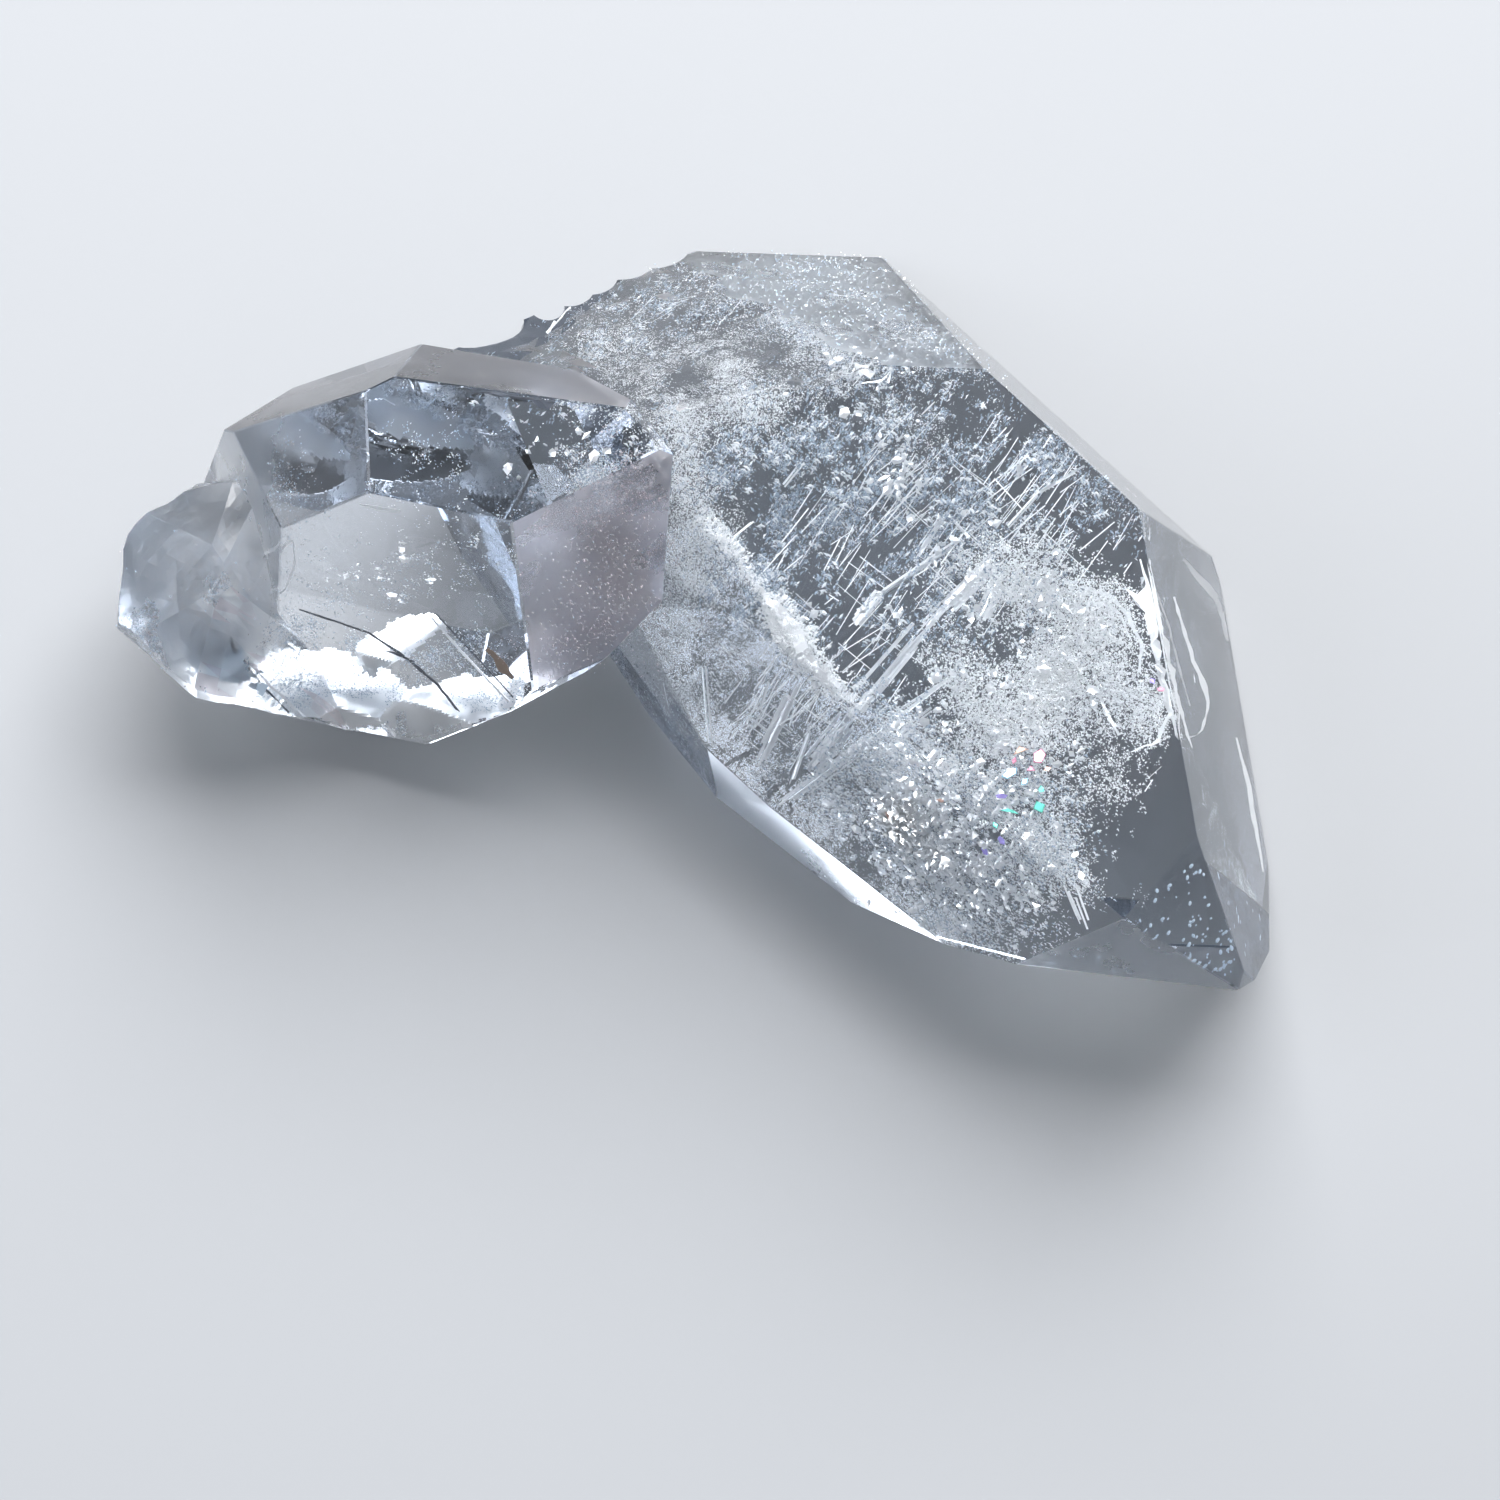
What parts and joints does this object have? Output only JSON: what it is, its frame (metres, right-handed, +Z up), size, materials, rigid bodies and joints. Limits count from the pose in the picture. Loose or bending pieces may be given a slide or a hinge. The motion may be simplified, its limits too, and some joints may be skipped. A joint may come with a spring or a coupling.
{
  "type": "quartz crystal",
  "caption": "Clear quartz specimen: a long double-ended crystal lying on one flat face with a stubby crystal grown into its end.",
  "frame": {"origin": "centre of the bounding box, on the ground plane under the specimen", "axes": "+Z up, out of the face the crystal rests on and through its broad upper face; +X towards the long crystal's pointed end, as seen from above with the stubby crystal at the left; +Y to the back"},
  "size_m": [0.0554, 0.0361, 0.0212],
  "materials": {
    "clear_quartz": "polished"
  },
  "bodies": {
    "root": {"quartz_crystal_pair": "clear_quartz"}
  },
  "joints": []
}
